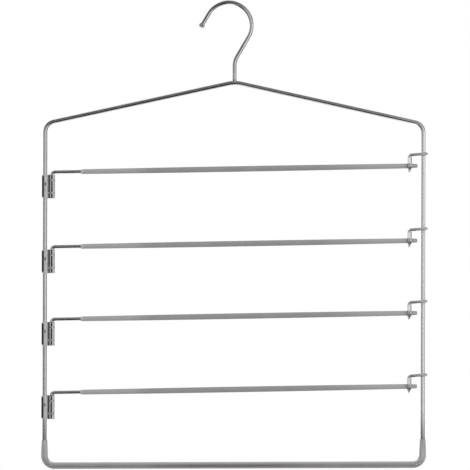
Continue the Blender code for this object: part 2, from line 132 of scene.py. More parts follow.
# what the bright wires mirror: a room that is pale below and dim above, with soft cards and dark flags in it
# turn is degrees to the right of the camera, lift is degrees up, and tone is the brightness
# grazing is how softly a card fades at right angles to the way it faces
studio = {
    "sky": 0.20, "ground": 0.90, "softness": 0.45, "grazing": 0.25, "fill": 0.80,
    "cards": {
        "photographer": {"turn": -20, "lift": -40, "roll": -20, "wide": 0.85, "high": 1.80, "tone": 0.0},
        "flagAbove": {"turn": 50, "lift": 25, "roll": 12, "wide": 1.25, "high": 0.30, "tone": 0.15},
        "softboxRight": {"turn": 52, "lift": -10, "roll": 45, "wide": 0.24, "high": 0.72, "tone": 1.25},
        "paleTable": {"turn": -90, "lift": -70, "roll": 27, "wide": 2.10, "high": 0.28, "tone": 1.40},
        "softboxBehind": {"turn": -150, "lift": 35, "roll": 165, "wide": 0.20, "high": 0.65, "tone": 1.35},
        "flagLeft": {"turn": -60, "lift": -33, "roll": -40, "wide": 0.72, "high": 0.58, "tone": 0.0},
        "flagBehind": {"turn": 150, "lift": -25, "roll": 90, "wide": 0.30, "high": 1.28, "tone": 0.0},
        "stemLight": {"turn": 25, "lift": 0, "roll": 0, "wide": 0.14, "high": 0.10, "tone": 1.35},
        "stemFill": {"turn": -34, "lift": 0, "roll": 0, "wide": 0.18, "high": 0.09, "tone": 0.6},
    },
    "floorZ": -1.30, "floorSize": 60.0, "floorTone": 0.86, "floorRoughness": 0.9,
    "lampPower": 14.0, "lampSize": 1.6, "lampTarget": (0, 0, -0.22),
    "lamps": [(-1.6, -1.8, 1.6), (1.8, -1.6, 1.2), (0.2, 2.2, 1.4)],
}
white = (1, 1, 1, 1)


def cardMask(way, card, s):
    turn, lift, roll = radians(card["turn"]), radians(card["lift"]), radians(card["roll"])
    facing = Vector((sin(turn) * cos(lift), -cos(turn) * cos(lift), sin(lift)))
    level = Vector((cos(turn), sin(turn), 0))
    upright = level.cross(facing)
    upright *= -1 if upright.z < 0 else 1
    across = level * cos(roll) + upright * sin(roll)
    up = upright * cos(roll) - level * sin(roll)
    off = (way.along(across / card["wide"]) ** 2 + way.along(up / card["high"]) ** 2) ** 0.5
    inside = off.ease(1 - s["softness"], 1 + s["softness"], 1, 0)
    return inside * way.along(facing).ease(-s["grazing"], s["grazing"])


def addWorld(s):
    world = bpy.data.worlds.new("studio")
    bpy.context.scene.world = world
    world.use_nodes = True
    tree = world.node_tree
    tree.nodes.clear()
    start = Feed(tree)
    way = start.node("TexCoord", output="Generated")
    tone = way.along(zAxis).ease(-1, 1, s["ground"], s["sky"])
    for card in s["cards"].values():
        mask = cardMask(way, card, s)
        tone = tone * (1 - mask) + mask * card["tone"]
    path = start.node("LightPath")
    glossy = Feed(tree, path.socket.node.outputs["Is Glossy Ray"])
    clear = start.maths("MAXIMUM", path, Feed(tree, path.socket.node.outputs["Is Transmission Ray"]))
    mirrored = start.maths("MAXIMUM", glossy * tone, (1 - glossy) * s["fill"])
    light = start.node("Background", None, {"Color": white, "Strength": clear + (1 - clear) * mirrored})
    out = tree.nodes.new("ShaderNodeOutputWorld")
    tree.links.new(light.socket, out.inputs["Surface"])


def addFloor(s):
    bpy.ops.mesh.primitive_plane_add(size=s["floorSize"], location=(0, 0, s["floorZ"]))
    floor = bpy.context.object
    floor.name = "floor"
    paint = bpy.data.materials.new("paleFloor")
    paint.use_nodes = True
    tree = paint.node_tree
    shader = tree.nodes["Principled BSDF"]
    shader.inputs["Base Color"].default_value = (s["floorTone"], s["floorTone"], s["floorTone"], 1)
    shader.inputs["Roughness"].default_value = s["floorRoughness"]
    start = Feed(tree)
    path = start.node("LightPath")
    clear = start.maths("MAXIMUM", path, Feed(tree, path.socket.node.outputs["Is Transmission Ray"]))
    glow = start.node("Emission", None, {"Color": white, "Strength": 1.0})
    mixed = start.node("MixShader", None, {0: clear, 1: Feed(tree, shader.outputs[0]), 2: glow})
    tree.links.new(mixed.socket, tree.nodes["Material Output"].inputs["Surface"])
    floor.data.materials.append(paint)
    floor.visible_glossy = False  # the wires mirror the studio's cards instead


def addLamps(s):
    for place in s["lamps"]:
        bpy.ops.object.light_add(type="AREA", location=place)
        lamp = bpy.context.object
        lamp.rotation_euler = (Vector(s["lampTarget"]) - Vector(place)).to_track_quat("-Z", "Y").to_euler()
        lamp.data.size = s["lampSize"]
        lamp.data.energy = s["lampPower"]
        lamp.visible_glossy = False
        lamp.visible_camera = False


def clamp(value):
    return min(1.0, max(0.0, value))


def ramp(value, low, high):
    return clamp((value - low) / (high - low))


def pickNone():
    if bpy.context.object and bpy.context.object.mode == "EDIT":
        bpy.ops.object.mode_set(mode="OBJECT")
    bpy.ops.object.select_all(action="DESELECT")


def addRing(name, centre, way, radius, points, filled=True):
    pickNone()
    turned = zAxis.rotation_difference(way).to_euler()
    bpy.ops.mesh.primitive_circle_add(vertices=points, radius=radius, location=centre, rotation=turned,
                                      fill_type="NGON" if filled else "NOTHING")
    piece = bpy.context.object
    piece.name = name
    bpy.ops.object.transform_apply(location=True, rotation=True, scale=True)
    bpy.ops.object.mode_set(mode="EDIT")
    bpy.ops.mesh.select_all(action="SELECT")
    return piece


# press the two faces of the selected ring, which is turned by some degrees about the upright axis
def flattenRing(piece, place, half, angle):
    bpy.ops.object.mode_set(mode="OBJECT")
    turn = Matrix.Rotation(radians(angle), 3, "Z")
    for vertex in piece.data.vertices:
        if vertex.select:
            local = turn.transposed() @ (vertex.co - place)
            local.y = min(half, max(-half, local.y))
            vertex.co = turn @ local + place
    bpy.ops.object.mode_set(mode="EDIT")


# a wire or tube is a ring that is extruded along its runs and spun round its bends
# moves are ("run", length[, scale]), ("bend", degrees, radius, axis[, scale of each step]),
# ("twist", degrees), which turns the ring about the upright axis, and ("flatten", half, degrees)
def drawWire(name, start, way, radius, moves, points=28, step=5.0, closed=False, smooth=40):
    piece = addRing(name, start, way, radius, points, not closed)
    place = start.copy()
    side = yAxis if abs(way.y) < 0.5 else xAxis
    along = 0.0
    stations = [(place.copy(), way.copy(), side.copy(), along)]
    for move in moves:
        if move[0] == "twist":
            bpy.ops.transform.rotate(value=-radians(move[1]), orient_axis="Z", center_override=place)
            continue
        if move[0] == "flatten":
            flattenRing(piece, place, *move[1:])
            continue
        if move[0] == "run":
            bpy.ops.mesh.extrude_region_move(TRANSFORM_OT_translate={"value": way * move[1]})
            place = place + way * move[1]
            if len(move) > 2:
                bpy.ops.transform.resize(value=move[2], center_override=place)
            along += move[1]
            stations.append((place.copy(), way.copy(), side.copy(), along))
            continue
        angle, bend, axis = radians(move[1]), move[2], move[3]
        centre = place + axis.cross(way) * bend * (1 if angle > 0 else -1)
        steps = max(1, ceil(abs(move[1]) / step))
        for index in range(steps):
            turn = Matrix.Rotation(angle / steps, 3, axis)
            bpy.ops.mesh.spin(steps=1, angle=-angle / steps, center=centre, axis=axis)
            place = centre + turn @ (place - centre)
            way = (turn @ way).normalized()
            side = turn @ side
            if len(move) > 4:
                bpy.ops.transform.resize(value=move[4], center_override=place)
            along += abs(angle) / steps * bend
            stations.append((place.copy(), way.copy(), side.copy(), along))
    bpy.ops.mesh.select_all(action="SELECT")
    bpy.ops.mesh.remove_doubles(threshold=mergeDistance)
    bpy.ops.mesh.normals_make_consistent(inside=False)
    bpy.ops.object.mode_set(mode="OBJECT")
    bpy.ops.object.shade_smooth_by_angle(angle=radians(smooth))
    layGrain(piece, stations)
    return piece


# the attribute "grain" runs with the wire: two places across it and the distance along it
def layGrain(piece, stations):
    grain = piece.data.attributes.new("grain", "FLOAT_VECTOR", "POINT")
    for index, vertex in enumerate(piece.data.vertices):
        place, way, side, along = min(stations, key=lambda s: (s[0] - vertex.co).length_squared)
        off = vertex.co - place
        grain.data[index].vector = (off.dot(side), off.dot(way.cross(side)), along)


# rings are (radius, distance) in millimetres from the start
def ringRuns(rings):
    runs = []
    for (radiusA, placeA), (radiusB, placeB) in zip(rings, rings[1:]):
        runs.append(("run", (placeB - placeA) / 1000, (radiusB / radiusA,) * 3))
    return runs


def drawTurned(name, start, way, rings, points):
    radius, place = rings[0]
    begin = start + way * (place / 1000)
    return drawWire(name, begin, way, radius / 1000, ringRuns(rings), points, smooth=50)


def finishPiece(piece, paint, body, slot, *nodes):
    piece.data.materials.clear()
    piece.data.materials.append(paint)
    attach(piece, body)
    if nodes:
        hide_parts(*nodes)


print("helpers ready")
addCamera(camera)
addWorld(studio)
addFloor(studio)
addLamps(studio)
print("camera and studio are in place")

# sizes that several pieces share, in metres and degrees; a wire's size is its radius
hanger = {"middleX": 0.0058, "halfWidth": 0.1815, "uprightLength": 0.3278, "barRise": 0.0019, "slope": 12.4,
          "wire": 0.0020, "apexBend": 0.032, "shoulderBend": 0.010, "cornerBend": 0.0095, "joint": 0.001,
          "gap": 0.0003, "armRise": 1.15, "stemOffset": 0.0134}
hook = {"wire": 0.0019, "inside": 0.0202, "tailSlope": 30.5, "tail": 0.0138, "neckSlope": 30.3,
        "neckBend": 0.018, "shank": 0.0206, "step": 4}

slope = radians(hanger["slope"])
neck = radians(hook["neckSlope"])
hookRadius = hook["inside"] + hook["wire"]
neckCornerZ = -hook["inside"] - (hookRadius - hanger["middleX"] * cos(neck)) / sin(neck)
apexZ = neckCornerZ - hook["shank"]
crownZ = apexZ - hanger["apexBend"] * (1 / cos(slope) - 1)
leftX = hanger["middleX"] - hanger["halfWidth"]
rightX = hanger["middleX"] + hanger["halfWidth"]
bottomZ = apexZ - hanger["halfWidth"] * tan(slope) - hanger["uprightLength"]
barTilt = atan(hanger["barRise"] / (2 * hanger["halfWidth"]))
leftTurn = 90 + degrees(barTilt)
rightTurn = 90 - degrees(barTilt)
leftEnd = hanger["cornerBend"] * tan(radians(leftTurn / 2))
rightEnd = hanger["cornerBend"] * tan(radians(rightTurn / 2))
barLength = 2 * hanger["halfWidth"] / cos(barTilt)

armPlaces = [Vector(joint["pos_m"]) for joint in frame["joints"]]
armRise = radians(hanger["armRise"])
armWay = Vector((cos(armRise), 0, sin(armRise)))
stemX = rightX - hanger["stemOffset"]
stemZ = armPlaces[0].z + (stemX - armPlaces[0].x) * tan(armRise)
armReach = (stemX - armPlaces[0].x) / cos(armRise)


# a copy of the first arm's piece, with its own mesh, moved to the arm with this number
def copyToArm(first, name, number):
    pickNone()
    first.select_set(True)
    bpy.context.view_layer.objects.active = first
    bpy.ops.object.duplicate(linked=False)
    other = bpy.context.object
    other.name = f"{name}{number}"
    other.data.transform(Matrix.Translation(armPlaces[number - 1] - armPlaces[0]))
    return other


# bright plating on the wires, with painted light towards the right upright and painted shade near the bottom
# bar the attribute "shade" marks painted shade, and "pressed" the satin faces that a press leaves
chromeLook = {"light": (0.76, 0.76, 0.77, 1), "dark": (0.68, 0.68, 0.69, 1), "paintedShadeColour": (0.03, 0.03, 0.03, 1),
              "paintedLight": (0.97, 0.97, 0.98, 1), "paintedLightAt": (0.14, 0.19), "paintedLightSatin": 0.06,
              "low": (0.40, 0.40, 0.41, 1), "lowShadeAt": (-0.425, -0.385),
              "metal": 0.975, "roughness": 0.22, "haze": 0.06, "satin": 0.55,
              "uprightSatin": 0.12, "uprightAt": (-0.135, -0.120),
              "lines": (900, 900, 14), "lineShare": 0.35, "lineBump": 0.4,
              "cloud": 60.0, "cloudAt": (0.35, 0.70), "cloudShare": 0.65, "cloudBump": 0.3,
              "pits": 1500.0, "pitsAt": (0.70, 0.82), "pitShare": 0.15, "pitBump": 0.4, "pitRough": 0.06,
              "bump": 0.012, "bumpDepth": 0.00002}
# painted light makes the hook lighter towards the right of its curve
hookLook = {**chromeLook, "roughness": 0.15, "paintedLight": (0.80, 0.80, 0.81, 1), "paintedLightAt": (0.012, 0.020),
            "paintedLightSatin": 0.10, "uprightAt": (-0.068, -0.058)}
evenLook = {**chromeLook, "light": (0.88, 0.88, 0.89, 1), "dark": (0.80, 0.80, 0.81, 1),
            "paintedLight": (0.88, 0.88, 0.89, 1), "paintedLightSatin": 0.0, "uprightSatin": 0.0,
            "low": (0.84, 0.84, 0.85, 1)}
armLook = {**evenLook, "metal": 0.97, "roughness": 0.17}
latchLook = {**evenLook, "metal": 0.92, "roughness": 0.24}
weldLook = {**evenLook, "light": (0.58, 0.58, 0.59, 1), "dark": (0.40, 0.40, 0.41, 1), "metal": 0.50,
            "paintedLight": (0.62, 0.62, 0.63, 1), "roughness": 0.30, "cloud": 900.0, "bump": 0.40}


def newPaint(name):
    paint = bpy.data.materials.new(name)
    paint.use_nodes = True
    return paint, paint.node_tree.nodes["Principled BSDF"], Feed(paint.node_tree)


def plug(shader, name, feed):
    feed.tree.links.new(feed.socket, shader.inputs[name])


def makeChrome(name, c):
    paint, shader, start = newPaint(name)
    spot = start.node("TexCoord", output="Object")
    # painted light towards the right upright, and painted shade near the bottom bar
    paintedLight = spot.along(xAxis).ease(*c["paintedLightAt"])
    low = spot.along(zAxis).ease(*c["lowShadeAt"], 1, 0)
    upright = spot.along(zAxis).ease(*c["uprightAt"], c["uprightSatin"], 0)
    metal = c["metal"] - start.mark("pressed") * c["satin"]
    plug(shader, "Metallic", metal - paintedLight * (1 - low) * c["paintedLightSatin"] - upright)
    lines = start.mark("grain", "Vector").times(c["lines"]).noise(1.0, 4)  # left by the drawing die
    cloud = spot.noise(c["cloud"], 4).ease(*c["cloudAt"])
    pits = spot.noise(c["pits"], 2).ease(*c["pitsAt"])
    tone = cloud * c["cloudShare"] + lines * c["lineShare"] - pits * c["pitShare"]
    colour = low.tint(paintedLight.tint(tone.tint(c["dark"], c["light"]), c["paintedLight"]), c["low"])
    # painted shade where the attribute "shade" is set
    plug(shader, "Base Color", start.mark("shade").tint(colour, c["paintedShadeColour"]))
    haze = (1 - cloud) * 0.5 + lines * 0.5
    plug(shader, "Roughness", haze * c["haze"] + pits * c["pitRough"] + c["roughness"])
    relief = lines * c["lineBump"] + cloud * c["cloudBump"] - pits * c["pitBump"]
    plug(shader, "Normal", relief.bump(c["bump"], c["bumpDepth"]))
    return paint


# folded and plated sheet of the hinge clips; the attribute "shade" marks painted shade in its recesses and on
# its rolled side
sheetLook = {"light": (0.70, 0.70, 0.71, 1), "dark": (0.56, 0.56, 0.57, 1), "paintedShadeColour": (0.03, 0.03, 0.03, 1),
             "metal": 0.45, "shine": 0.05, "roughness": 0.36, "toneRough": 0.14, "shadeRough": 0.20,
             "brush": (1500, 1500, 110), "brushShare": 0.4, "brushBump": 0.5,
             "mottle": 420.0, "mottleAt": (0.32, 0.66), "mottleShare": 0.6, "mottleRough": 0.6,
             "bump": 0.20, "bumpDepth": 0.00004}


def makeSheet(name, c):
    paint, shader, start = newPaint(name)
    shader.inputs["Specular IOR Level"].default_value = c["shine"]
    spot = start.node("TexCoord", output="Object")
    shade = start.mark("shade")
    plug(shader, "Metallic", (1 - shade) * c["metal"])
    brushed = spot.times(c["brush"]).noise(1.0, 4)
    mottle = spot.noise(c["mottle"], 4, c["mottleRough"])
    tone = mottle.ease(*c["mottleAt"]) * c["mottleShare"] + brushed * c["brushShare"]
    # painted shade where the attribute "shade" is set
    plug(shader, "Base Color", shade.tint(tone.tint(c["dark"], c["light"]), c["paintedShadeColour"]))
    plug(shader, "Roughness", (1 - tone) * c["toneRough"] + shade * c["shadeRough"] + c["roughness"])
    plug(shader, "Normal", (brushed * c["brushBump"] + mottle).bump(c["bump"], c["bumpDepth"]))
    return paint


# what the soft grey sleeves share: a cloudy, streaked tone and a fine skin
softLook = {"cloud": 60.0, "cloudShare": 0.35, "streakShare": 0.45, "skin": 3600.0, "skinShare": 0.20,
            "toneAt": (0.30, 0.68), "streakRough": 0.25, "skinRough": 0.15,
            "skinBump": 0.6, "streakBump": 0.4, "bump": 0.20, "bumpDepth": 0.00004}
# an arm's sleeve pales towards both ends and at the rim of its mouth, by the distance from the mouth
sleeveLook = {**softLook, "light": (0.30, 0.30, 0.30, 1), "dark": (0.25, 0.25, 0.25, 1), "roughness": 0.62,
              "shine": 0.35, "sheen": 0.0, "sheenRoughness": 0.4, "streaks": (900, 900, 12),
              "pale": (0.36, 0.36, 0.36, 1), "nearAt": (0.042, 0.070), "nearShare": 0.8,
              "farAt": (0.215, 0.300), "rimAt": (0.0002, 0.0014), "rimShare": 0.15}
# the bottom sleeve is darkest mid-way, has painted sheen along both sides, painted light on its streaked
# legs, and painted highlights and painted shade on the folds at its bends
barLook = {**softLook, "light": (0.24, 0.24, 0.24, 1), "dark": (0.17, 0.17, 0.17, 1), "roughness": 0.50,
           "shine": 0.50, "sheen": 0.55, "sheenRoughness": 0.45, "streaks": (700, 700, 9),
           "midDark": (0.135, 0.135, 0.135, 1), "midAt": (0.015, 0.110),
           "paintedSheen": (0.36, 0.36, 0.36, 1), "edgeAt": (0.0003, 0.0030),
           "litLegLight": (0.40, 0.40, 0.40, 1), "litLegDark": (0.23, 0.23, 0.23, 1), "legAt": (-0.4400, -0.4330),
           "legStreaks": (0.38, 0.60), "crumple": 480.0, "crumpleAt": (0.36, 0.60), "crumpleLeast": 0.15,
           "foldHighlight": (0.66, 0.66, 0.66, 1), "foldShade": (0.09, 0.09, 0.09, 1), "foldFull": 0.70,
           "foldHighlightShare": 0.8, "foldShadeShare": 0.7}


def sleeveTones(c, grain, colour):
    run = grain.along(zAxis)
    ends = run.ease(*c["nearAt"], c["nearShare"], 0) + run.ease(*c["farAt"])
    return run.ease(*c["rimAt"], c["rimShare"], 0).tint(ends.tint(colour, c["pale"]), white)


def barTones(c, spot, grain, streak, colour):
    colour = abs(spot.along(xAxis)).ease(*c["midAt"]).tint(c["midDark"], colour)
    # painted sheen, lighter along both sides of the sleeve
    colour = abs(grain.along(yAxis)).ease(*c["edgeAt"]).tint(colour, c["paintedSheen"])
    # painted light: the streaked legs are lighter, as if lit from the side
    streaked = streak.ease(*c["legStreaks"]).tint(c["litLegDark"], c["litLegLight"])
    colour = spot.along(zAxis).ease(*c["legAt"]).tint(colour, streaked)
    fold = spot.mark("fold") * spot.noise(c["crumple"], 2).ease(*c["crumpleAt"], c["crumpleLeast"])
    # painted highlights on the fold crests and painted shade in the fold hollows
    colour = fold.ease(0, c["foldFull"], 0, c["foldHighlightShare"]).tint(colour, c["foldHighlight"])
    return (fold * -1).ease(0, c["foldFull"], 0, c["foldShadeShare"]).tint(colour, c["foldShade"])


def makeSoft(name, c):
    paint, shader, start = newPaint(name)
    shader.inputs["Specular IOR Level"].default_value = c["shine"]
    shader.inputs["Sheen Weight"].default_value = c["sheen"]
    shader.inputs["Sheen Roughness"].default_value = c["sheenRoughness"]
    spot = start.node("TexCoord", output="Object")
    grain = start.mark("grain", "Vector")
    streak = grain.times(c["streaks"]).noise(1.0, 3)
    cloud = spot.noise(c["cloud"], 3)
    skin = spot.noise(c["skin"], 2)
    tone = cloud * c["cloudShare"] + streak * c["streakShare"] + skin * c["skinShare"]
    colour = tone.ease(*c["toneAt"]).tint(c["dark"], c["light"])
    if c["sheen"]:
        colour = barTones(c, spot, grain, streak, colour)
    else:
        colour = sleeveTones(c, grain, colour)
    plug(shader, "Base Color", colour)
    rough = (streak - 0.5) * c["streakRough"] + (skin - 0.5) * c["skinRough"]
    plug(shader, "Roughness", rough + c["roughness"])
    plug(shader, "Normal", (skin * c["skinBump"] + streak * c["streakBump"]).bump(c["bump"], c["bumpDepth"]))
    return paint


chrome = makeChrome("brightPlating", chromeLook)
hookChrome = makeChrome("hookPlating", hookLook)
armChrome = makeChrome("armPlating", armLook)
latchChrome = makeChrome("latchPlating", latchLook)
weldMetal = makeChrome("weldMetal", weldLook)
sheetPaint = makeSheet("platedSheet", sheetLook)
softGrey = makeSoft("softGrey", sleeveLook)
barGrey = makeSoft("barGrey", barLook)
print("finishes are ready")


# frame: one closed loop of wire, joined inside the bottom sleeve
def makeFrame(h):
    shoulderTurn = 90 - h["slope"]
    shoulderEnd = h["shoulderBend"] * tan(radians(shoulderTurn / 2))
    shoulder = h["halfWidth"] / cos(slope) - shoulderEnd - h["apexBend"] * tan(slope)
    leftUpright = h["uprightLength"] + h["barRise"] / 2 - leftEnd - shoulderEnd
    rightUpright = h["uprightLength"] - h["barRise"] / 2 - rightEnd - shoulderEnd
    shoulderBend = ("bend", shoulderTurn, h["shoulderBend"], yAxis)
    moves = [("run", barLength / 2 - leftEnd), ("bend", leftTurn, h["cornerBend"], yAxis),
             ("run", leftUpright), shoulderBend,
             ("run", shoulder), ("bend", 2 * h["slope"], h["apexBend"], yAxis), ("run", shoulder),
             shoulderBend, ("run", rightUpright), ("bend", rightTurn, h["cornerBend"], yAxis),
             ("run", barLength / 2 - rightEnd - h["joint"]), ("run", h["joint"])]
    start = Vector((h["middleX"], 0, bottomZ))
    way = Vector((-cos(barTilt), 0, -sin(barTilt)))
    piece = drawWire("frameWire", start, way, h["wire"], moves, closed=True)
    finishPiece(piece, chrome, "hanger", "frame_chrome", "frame_wire")


makeFrame(hanger)
print("frame is drawn")

# the button on the hook's tip, and the bead that welds the hook to the apex, as rings in millimetres
button = {"start": 0.0020, "points": 32,
          "rings": [(1.95, 0.0), (2.45, 0.12), (2.72, 0.34), (2.80, 0.70), (2.70, 1.05), (2.60, 1.30),
                    (2.60, 2.10), (2.50, 2.50), (2.24, 2.80), (1.80, 2.95), (1.0, 3.0)]}
apexBead = {"points": 32,
            "rings": [(1.6, 1.0), (2.06, 1.2), (2.12, 1.7), (2.08, 2.1), (2.0, 2.5), (1.94, 2.8),
                      (1.88, 3.0)]}


def makeHook(c):
    bendEnd = c["neckBend"] * tan(neck / 2)
    corner = Vector((hanger["middleX"], 0, neckCornerZ))
    arcStart = Vector((hookRadius * cos(neck), 0, -c["inside"] - hookRadius * sin(neck)))
    sweep = 180 + c["neckSlope"] - c["tailSlope"]
    moves = [("run", neckCornerZ - bendEnd - crownZ), ("bend", c["neckSlope"], c["neckBend"], yAxis),
             ("run", (arcStart - corner).length - bendEnd), ("bend", -sweep, hookRadius, yAxis),
             ("run", c["tail"])]
    foot = Vector((hanger["middleX"], 0, crownZ))
    piece = drawWire("hookWire", foot, zAxis, c["wire"], moves, step=c["step"])
    finishPiece(piece, hookChrome, "hanger", "hook_chrome", "hook_wire")

    tail = radians(c["tailSlope"])
    tailWay = Vector((-sin(tail), 0, -cos(tail)))
    arcEnd = Vector((-hookRadius * cos(tail), 0, -c["inside"] + hookRadius * sin(tail)))
    begin = arcEnd + tailWay * (c["tail"] - button["start"])
    piece = drawTurned("hookTipCap", begin, tailWay, button["rings"], button["points"])
    finishPiece(piece, hookChrome, "hanger", "cap_chrome", "hook_tip_cap")
    piece = drawTurned("apexWeld", foot, zAxis, apexBead["rings"], apexBead["points"])
    finishPiece(piece, chrome, "hanger", "frame_chrome")


makeHook(hook)
print("hook and button are drawn")

# arms: a leg, a tight bend and a long bar; painted shadow darkens the leg inside its barrel, apart from at
# the slots
arm = {"wire": 0.00165, "leg": 0.0241, "bend": 0.0025, "pastStem": 0.0015, "endRound": 0.0003,
       "legRings": 48, "barrelTop": 0.0029, "slots": (0.0077, 0.0199), "slotHalf": 0.0006, "swell": 1.10,
       "insideShade": 0.9}


def makeArms(c):
    turn = 90 - hanger["armRise"]
    bendEnd = c["bend"] * tan(radians(turn / 2))
    grow = c["wire"] / (c["wire"] - c["endRound"])
    ring = (c["leg"] - c["endRound"] / 2 - bendEnd) / c["legRings"]
    moves = [("run", c["endRound"] / 2, (grow,) * 3)] + [("run", ring)] * (c["legRings"] - 1)
    moves += [("run", ring, (c["swell"],) * 3), ("bend", turn, c["bend"], yAxis),
              ("run", 2 * ring, (1 / c["swell"],) * 3),
              ("run", armReach + c["pastStem"] - bendEnd - 2 * ring)]
    for number, place in enumerate(armPlaces, 1):
        foot = place - zAxis * c["leg"]
        piece = drawWire(f"armWire{number}", foot, zAxis, c["wire"] - c["endRound"], moves)
        shade = piece.data.attributes.new("shade", "FLOAT", "POINT")
        for index, vertex in enumerate(piece.data.vertices):
            down = place.z - vertex.co.z
            slotted = min(abs(down - slot) for slot in c["slots"]) < c["slotHalf"]
            shade.data[index].value = 0.0 if down < c["barrelTop"] or slotted else c["insideShade"]
        finishPiece(piece, armChrome, f"arm_{number}", "arm_chrome", f"arm_wire_{number}")


makeArms(arm)
print("arms are drawn")

# sleeves on the arms: thin at the mouth, crowned in the middle, closed at the tip; radii in millimetres
# the drawn rings lie past the wire's end, where the sleeve narrows
armSleeve = {"bare": 0.0277, "start": 2.30, "middle": 2.70, "latch": 2.30, "rings": 48, "points": 28,
             "mouthRings": [(1.75, 1.2), (1.75, 0.10), (1.87, 0.0), (1.98, 0.0), (2.18, 0.15), (2.28, 0.60)],
             "drawnRings": [(2.12, 0.7), (2.00, 1.5)], "pastStem": 0.0078,
             "tip": 2.00, "tipRound": 1.2, "tipSteps": 7, "tipFlat": 0.3}


def makeArmSleeves(c):
    end = (armReach + arm["pastStem"] + hanger["gap"] - c["bare"]) * 1000
    tip = (armReach + c["pastStem"] - c["bare"]) * 1000
    crown = c["middle"] - (c["start"] + c["latch"]) / 2
    rings = list(c["mouthRings"])
    for index in range(1, c["rings"] + 1):
        share = index / c["rings"]
        level = c["start"] + (c["latch"] - c["start"]) * share
        rings.append((level + crown * (1 - (2 * share - 1) ** 2), end * share))
    rings += [(radius, end + past) for radius, past in c["drawnRings"]]
    for index in range(c["tipSteps"]):
        angle = pi / 2 * index / c["tipSteps"]
        rings.append((c["tip"] - c["tipRound"] * (1 - cos(angle)), tip - c["tipRound"] * (1 - sin(angle))))
    rings += [(c["tip"] - c["tipRound"], tip), (c["tipFlat"], tip)]
    for number, place in enumerate(armPlaces, 1):
        piece = drawTurned(f"armSleeve{number}", place + armWay * c["bare"], armWay, rings, c["points"])
        finishPiece(piece, softGrey, f"arm_{number}", "arm_sleeve", f"arm_sleeve_{number}")


makeArmSleeves(armSleeve)
print("arm sleeves are drawn")

# sleeve on the bottom bar, round both corners and up the uprights; radii in millimetres
# a fold is (strength, width, turns along the bend, start)
barSleeve = {"mouthRings": [(2.05, 1.5), (2.05, 0.1), (2.30, 0.0), (2.55, 0.12), (2.60, 0.4)],
             "body": 3.20, "leg": 0.0153, "taper": 0.013, "taperCurve": 0.8, "taperSteps": 10,
             "barSteps": 24, "points": 56, "cornerStep": 1.5,
             "foldDepth": 0.00028, "foldReach": 0.0024, "foldSoft": 0.0020, "foldLeft": 0.60,
             "folds": [(0.7, 0.0023, 1.2, 0.1), (0.4, 0.0014, -2.3, 0.3)]}


def makeBottomSleeve(c):
    rings = list(c["mouthRings"])
    lip, lipEnd = rings[-1]
    for index in range(1, c["taperSteps"] + 1):
        share = index / c["taperSteps"]
        radius = lip + (c["body"] - lip) * share ** c["taperCurve"]
        rings.append((radius, lipEnd + (c["taper"] * 1000 - lipEnd) * share))
    corner = hanger["cornerBend"]
    legLength = (corner + c["leg"]) * 1000
    downRings = rings + [(c["body"], legLength - rightEnd * 1000)]
    lastPlace = legLength - leftEnd * 1000
    upRings = [(radius, lastPlace - place) for radius, place in [(c["body"], lastPlace)] + rings[::-1]]
    bar = (barLength - leftEnd - rightEnd) / c["barSteps"]
    moves = ringRuns(downRings) + [("bend", rightTurn, corner, yAxis)] + [("run", bar)] * c["barSteps"]
    moves += [("bend", leftTurn, corner, yAxis)] + ringRuns(upRings)
    radius, place = rings[0]
    start = Vector((rightX, 0, bottomZ + hanger["barRise"] / 2 + (legLength - place) / 1000))
    piece = drawWire("bottomSleeve", start, -zAxis, radius / 1000, moves, c["points"], c["cornerStep"],
                     smooth=50)
    foldCorners(piece, c)
    finishPiece(piece, barGrey, "hanger", "bar_sleeve", "bottom_sleeve")


# the sleeve bunches up round both bends in small folds that run with it; the attribute "fold" is their height
def foldCorners(piece, c):
    inset = hanger["cornerBend"]
    outside = inset + c["foldReach"]
    fold = piece.data.attributes.new("fold", "FLOAT", "POINT")
    for centreX, sign, strength in ((rightX - inset, 1, 1.0), (leftX + inset, -1, c["foldLeft"])):
        centreZ = bottomZ + sign * hanger["barRise"] / 2 + inset
        for index, vertex in enumerate(piece.data.vertices):
            across, down = (vertex.co.x - centreX) * sign, centreZ - vertex.co.z
            distance = hypot(across, down)
            if across < 0 or down < 0 or distance > outside:
                continue
            turned = atan2(down, across) / (pi / 2)
            wave = sum(part * cos(2 * pi * (distance / width + turns * turned + begin))
                       for part, width, turns, begin in c["folds"])
            reach = min(1.0, (outside - distance) / c["foldSoft"]) * max(0.0, sin(pi * turned)) ** 0.5
            onWire = inset / distance
            middle = Vector((centreX + sign * across * onWire, 0, centreZ - down * onWire))
            vertex.co += (vertex.co - middle).normalized() * (c["foldDepth"] * strength * wave * reach)
            fold.data[index].value = strength * wave * reach


makeBottomSleeve(barSleeve)
print("bottom sleeve is drawn")

